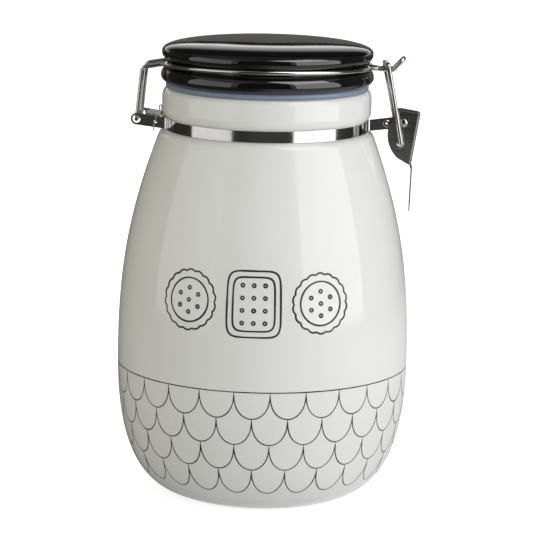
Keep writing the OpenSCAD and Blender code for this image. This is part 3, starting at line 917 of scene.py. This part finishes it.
BISCUIT_Z = 119
BISCUIT_PITCH = 37.0
BISCUIT_LINE = 1.0
ROUND_R = 15.2             # of a round biscuit's rim
ROUND_INNER_R = 11.6
ROUND_DOTS_R = 6.4         # of its ring of dots
FLUTE_H = 0.8
FLUTES = 18
SQUARE_W, SQUARE_H = 14.6, 17.4    # half the square biscuit's
SQUARE_INNER_W, SQUARE_INNER_H = 11.4, 14.2
SQUARE_POWER = 6
DOT_R = 0.85
DOT_PITCH_W, DOT_PITCH_H = 6.2, 6.6


def dot(s, z):
    return oval(s, z, DOT_R, DOT_R, 16)


def make_biscuits():
    """Three line-drawn biscuits on the front: two fluted round ones, and a square one."""
    strokes = []
    for s in (-BISCUIT_PITCH, BISCUIT_PITCH):
        rim = []
        for k in range(144):
            a = 2 * math.pi * k / 144
            r = ROUND_R + FLUTE_H * abs(math.sin(FLUTES / 2 * a))
            rim.append((s + r * math.cos(a), BISCUIT_Z + r * math.sin(a)))
        strokes.append((rim, True))
        strokes.append(oval(s, BISCUIT_Z, ROUND_INNER_R, ROUND_INNER_R, 64))
        for k in range(6):
            a = math.radians(60 * k + 30)
            x, y = ROUND_DOTS_R * math.cos(a), ROUND_DOTS_R * math.sin(a)
            strokes.append(dot(s + x, BISCUIT_Z + y))
        strokes.append(dot(s, BISCUIT_Z))
    strokes.append(oval(0, BISCUIT_Z, SQUARE_W, SQUARE_H, 120, SQUARE_POWER))
    strokes.append(oval(0, BISCUIT_Z, SQUARE_INNER_W, SQUARE_INNER_H, 100, SQUARE_POWER))
    for col in (-1, 0, 1):
        for row in (-1.5, -0.5, 0.5, 1.5):
            strokes.append(dot(DOT_PITCH_W * col, BISCUIT_Z + DOT_PITCH_H * row))
    printed("biscuit_print", strokes, BISCUIT_LINE)


# ---------------------------------------------------------------- floor, lights and camera
WHITE = (1.0, 1.0, 1.0)
LAMP_TARGET = Vector((0, 0, 0.13))
LID_MIDDLE = Vector((0, 0, 0.235))


def sheet(name, verts, faces, material):
    """An open mesh in metres, for the stage."""
    mesh = bpy.data.meshes.new(name)
    mesh.from_pydata(verts, [], faces)
    mesh.materials.append(material)
    return linked(name, mesh)


def rectangle(name, width, height, material):
    w, h = width / 2, height / 2
    return sheet(name, [(-w, -h, 0), (w, -h, 0), (w, h, 0), (-w, h, 0)], [(0, 1, 2, 3)], material)


def turned(obj, at, look, axis):
    """Puts an object at a point, with its axis towards another point."""
    obj.location = at
    obj.rotation_mode = "QUATERNION"
    obj.rotation_quaternion = (Vector(look) - Vector(at)).to_track_quat(axis, "Y")


def around(azimuth, distance, height):
    """A point round the jar: azimuth 0 is in front of it, and positive is to the right."""
    a = math.radians(azimuth)
    return Vector((distance * math.sin(a), -distance * math.cos(a), height))


def reflections_only(obj):
    obj.visible_camera = False
    obj.visible_diffuse = False
    obj.visible_shadow = False


def card(name, at, width, height, colour, glow=0.0, look=None):
    """A flat studio card, which shows in reflections only. It faces the jar's axis, or a point."""
    n = Nodes(name)
    n.set("Base Color", colour)
    n.set("Roughness", 1.0)
    if glow:
        n.set("Emission Color", WHITE)
        n.set("Emission Strength", glow)
    obj = rectangle(name, width, height, n.material)
    turned(obj, at, look or (0, 0, at[2]), "Z")
    reflections_only(obj)


def bent_sheet(name, lines, material):
    """A strip seen in reflections only, through a list of its cross lines' (end, end)."""
    verts = [v for line in lines for v in line]
    faces = [(2 * i, 2 * i + 1, 2 * i + 3, 2 * i + 2) for i in range(len(lines) - 1)]
    reflections_only(sheet(name, verts, faces, material))


STRIP_R = 2.3
STRIP_LOW, STRIP_HIGH = 0.64, 1.10
STRIP_HALF = 44            # degrees to either side of straight behind the jar
STRIP_GLOW = 1.6


def glow_strip():
    """A bent strip behind the jar, whose light fades upwards."""
    steps = 24
    lines = []
    for i in range(steps + 1):
        azimuth = 180 + STRIP_HALF * (2 * i / steps - 1)
        lines.append((around(azimuth, STRIP_R, STRIP_LOW), around(azimuth, STRIP_R, STRIP_HIGH)))
    n = Nodes("glow_strip")
    n.set("Base Color", 0.0)
    n.set("Emission Color", WHITE)
    up = n.spread(n.part("Z"), STRIP_LOW, STRIP_HIGH, 0, 1)
    n.set("Emission Strength", n.ramp(up, [(0, STRIP_GLOW), (0.3, 0.45 * STRIP_GLOW), (1, 0)]))
    bent_sheet("glow_strip", lines, n.material)


TABLE_HOLE = 0.056         # the floor itself shows in reflections as far out as this
TABLE_GAP = 9              # and behind the jar, this many degrees to either side
TABLE_FAR = 4.0
TABLE_Z = 0.003
TABLE_GLOW = (0.06, 0.52)  # painted light of the table ring at the left and right of the jar
FOOT_GLOW = (0.95, 0.22)   # and painted light round the foot, in front and behind


def table_flag():
    """A ring just over the floor, seen in reflections only: dark far out, with painted light near
    the jar.
    """
    steps = 48
    lines = []
    for i in range(steps + 1):
        azimuth = (180 - TABLE_GAP) * (2 * i / steps - 1)
        lines.append((around(azimuth, TABLE_HOLE, TABLE_Z), around(azimuth, TABLE_FAR, TABLE_Z)))
    n = Nodes("flag_table")
    n.set("Base Color", (0.028, 0.028, 0.025))
    n.set("Roughness", 1.0)
    # painted light: the ring glows at the jar's left and right and round its foot, most in front
    # and to the right
    near = n.spread(n.radius(), 0.45, 0.85, 1, 0)
    sides = n.math("MULTIPLY", near, n.spread(n.part("X"), -0.05, 0.07, *TABLE_GLOW))
    foot = n.spread(n.radius(), 0.06, 0.12, 1, 0)
    foot = n.math("MULTIPLY", foot, n.spread(n.part("X"), -0.06, 0.01, 0.3, 1))
    foot = n.math("MULTIPLY", foot, n.spread(n.part("Y"), -0.06, 0.0, *FOOT_GLOW))
    n.set("Emission Color", WHITE)
    n.set("Emission Strength", n.math("ADD", sides, foot))
    bent_sheet("flag_table", lines, n.material)


FLOOR_SIZE = 24.0


def make_floor():
    """The white floor. It is white by its own light, which only the camera and the gloss see; that
    light is weaker near the jar, a painted shade round its foot.
    """
    n = Nodes("floor_white")
    n.set("Base Color", n.mix(n.noise(3, 2), (0.49, 0.49, 0.49), (0.51, 0.51, 0.51)))
    n.set("Roughness", 0.9)
    n.set("Specular IOR Level", 0.1)
    path = n.add("ShaderNodeLightPath").outputs
    seen = n.math("MAXIMUM", path["Is Camera Ray"], path["Is Glossy Ray"])
    seen = n.math("MAXIMUM", seen, path["Is Transmission Ray"])
    n.set("Emission Color", WHITE)
    # painted shade: the floor's own light is turned down near the jar, so that the jar's real
    # shadow shows on it
    light = n.spread(n.radius(), 0.12, 0.45, 0.80, 1.0)
    n.set("Emission Strength", n.math("MULTIPLY", seen, light))
    rectangle("floor", FLOOR_SIZE, FLOOR_SIZE, n.material)


def softbox(name, azimuth, distance, height, width, tall, radiance, tint):
    """A rectangular studio lamp for the diffuse light. What the gloss shows of it is a card."""
    light = bpy.data.lights.new(name, "AREA")
    light.shape = "RECTANGLE"
    light.size, light.size_y = width, tall
    light.energy = radiance * math.pi * width * tall
    light.color = tint
    obj = linked(name, light)
    turned(obj, around(azimuth, distance, height), LAMP_TARGET, "-Z")
    obj.visible_camera = False
    obj.visible_glossy = False


# name, azimuth, distance and height; width, height, radiance and tint
LAMPS = [
    ("box_right", 67, 1.3, 0.38, 1.36, 0.95, 3.1, WHITE),
    ("box_left", -66.5, 1.3, 0.36, 1.08, 1.1, 0.62, (1.0, 0.985, 0.64)),
    ("box_warm", -122, 1.3, 0.7, 0.8, 1.0, 0.33, (1.0, 0.97, 0.40)),
    ("box_back", 180, 1.3, 1.1, 2.0, 0.6, 2.4, (1.0, 1.0, 0.97)),
    ("box_fill", 0, 1.6, 0.3, 1.0, 1.0, 2.2, WHITE),
]
# name and azimuth of a light box that leans over the jar; light of its lower and upper half
GLOWS = [("glow_right", 60.5, 2.1, 3.9), ("glow_left", -61.5, 1.0, 0.27)]
WORLD_COLOUR = (1.0, 1.0, 0.975, 1)
WORLD_STRENGTH = 0.38


def make_studio():
    world = bpy.context.scene.world or bpy.data.worlds.new("studio")
    bpy.context.scene.world = world
    world.use_nodes = True
    sky = world.node_tree.nodes["Background"]
    sky.inputs["Color"].default_value = WORLD_COLOUR
    sky.inputs["Strength"].default_value = WORLD_STRENGTH
    for lamp in LAMPS:
        softbox(*lamp)

    # what the gloss shows: two tall leaning boxes, a strip low behind the jar, and cards round them
    for name, azimuth, low, high in GLOWS:
        card(name, around(azimuth, 1.0, 0.515), 1.00, 1.02, 0.0, low)
        card(f"{name}_top", around(azimuth, 0.728, 1.40), 1.00, 0.98, 0.0, high, LID_MIDDLE)
    glow_strip()
    card("grey_back", around(180, 2.4, 0.28), 4.0, 0.56, (0.34, 0.33, 0.31))
    card("flag_back", around(180, 2.6, 1.6), 5.0, 3.2, (0.03, 0.03, 0.03))
    card("flag_top", (0, 0, 3.0), 5.0, 5.0, (0.05, 0.05, 0.05), 0.08, LID_MIDDLE)
    card("flag_front", around(0, 2.2, 0.8), 2.4, 3.4, (0.042, 0.042, 0.038))
    card("flag_left", (-2.2, 0.9, 0.8), 3.2, 3.4, (0.13, 0.125, 0.085))
    card("flag_right", (2.2, 1.0, 0.8), 2.6, 3.4, (0.16, 0.16, 0.15))
    table_flag()


CAMERA_TURN = 3.5          # degrees round from the front, towards the latch
CAMERA_AWAY = 1.466
CAMERA_UP = 0.411
CAMERA_DOWN = 11.14
CAMERA_ROLL = 1.1
CAMERA_SIDE = 0.0034
FOCAL_PX = 2712
FRAME_PX = 540
SENSOR = 36                # width in millimetres


def make_camera():
    data = bpy.data.cameras.new("camera")
    data.sensor_width = SENSOR
    data.sensor_fit = "HORIZONTAL"
    data.lens = SENSOR * FOCAL_PX / FRAME_PX
    data.clip_start, data.clip_end = 0.1, 50
    camera = linked("camera", data)
    turn = Matrix.Rotation(math.radians(CAMERA_TURN), 4, "Z")
    place = Matrix.Translation((CAMERA_SIDE, -CAMERA_AWAY, CAMERA_UP))
    tilt = Matrix.Rotation(math.radians(90 - CAMERA_DOWN), 4, "X")
    roll = Matrix.Rotation(math.radians(CAMERA_ROLL), 4, "Z")
    camera.matrix_world = turn @ place @ tilt @ roll
    bpy.context.scene.camera = camera


bpy.context.scene.view_settings.view_transform = "Standard"
make_ceramics()
make_wires()
make_pressings()
make_band()
make_biscuits()
make_floor()
make_studio()
make_camera()
